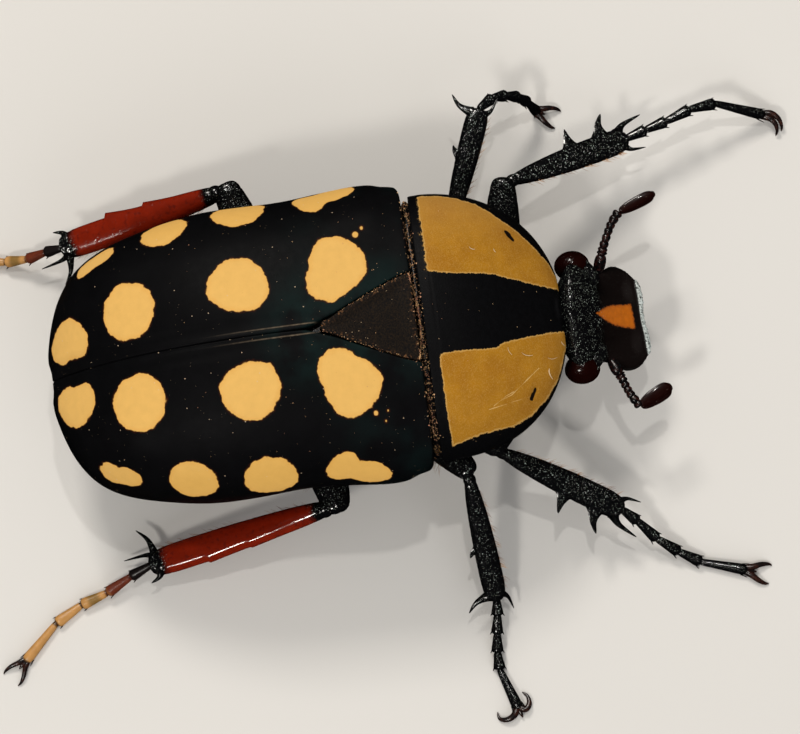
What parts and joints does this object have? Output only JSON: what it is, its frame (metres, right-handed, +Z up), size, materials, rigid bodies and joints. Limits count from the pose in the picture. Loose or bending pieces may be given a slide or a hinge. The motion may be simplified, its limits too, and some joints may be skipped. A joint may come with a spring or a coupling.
{
  "type": "female flower beetle, still life-size model",
  "caption": "Still life-size model of a spotted flower beetle standing on six legs, head turned slightly to its right.",
  "frame": {"origin": "middle of the footprint of the whole beetle, legs included, on the floor that it stands on", "axes": "+Z up; -Y the way that the head points; +X the beetle's own left side"},
  "size_m": [0.047, 0.0664, 0.0168],
  "materials": {
    "wing_covers": "deep black satin shell with large pale orange spots",
    "pronotum": "ochre shell with fine pores and a broad black middle stripe",
    "scutellum": "velvety black shell",
    "underside": "black shell, pitted, with short reddish hairs",
    "head": "coarsely grained black shell with an orange wedge on the clypeus",
    "eyes": "dark red-brown, finely faceted, glossy",
    "antenna_stalks": "black, glossy",
    "antenna_clubs": "dark red-brown, dull",
    "black_legs": "glossy black, coarsely pitted",
    "hind_tibiae": "glossy red-brown with a black end",
    "hind_tarsi": "amber, darker at each joint",
    "claws": "black-brown, glossy"
  },
  "bodies": {
    "root": {"abdomen": "underside", "antenna_club_left": "antenna_clubs", "antenna_club_right": "antenna_clubs", "antenna_left": "antenna_stalks", "antenna_right": "antenna_stalks", "claws_fore_left": "claws", "claws_fore_right": "claws", "claws_hind_left": "claws", "claws_hind_right": "claws", "claws_mid_left": "claws", "claws_mid_right": "claws", "coxa_fore_left": "underside", "coxa_fore_right": "underside", "coxa_hind_left": "underside", "coxa_hind_right": "underside", "coxa_mid_left": "underside", "coxa_mid_right": "underside", "elytron_left": "wing_covers", "elytron_right": "wing_covers", "eye_left": "eyes", "eye_right": "eyes", "femur_fore_left": "black_legs", "femur_fore_right": "black_legs", "femur_hind_left": "black_legs", "femur_hind_right": "black_legs", "femur_mid_left": "black_legs", "femur_mid_right": "black_legs", "head": "head", "mouthparts": "head", "pronotum": "pronotum", "prosternum": "underside", "pygidium": "underside", "scutellum": "scutellum", "tarsus_fore_left": "black_legs", "tarsus_fore_right": "black_legs", "tarsus_hind_left": "hind_tarsi", "tarsus_hind_right": "hind_tarsi", "tarsus_mid_left": "black_legs", "tarsus_mid_right": "black_legs", "thorax": "underside", "tibia_fore_left": "black_legs", "tibia_fore_right": "black_legs", "tibia_hind_left": "hind_tibiae", "tibia_hind_right": "hind_tibiae", "tibia_mid_left": "black_legs", "tibia_mid_right": "black_legs"}
  },
  "joints": []
}
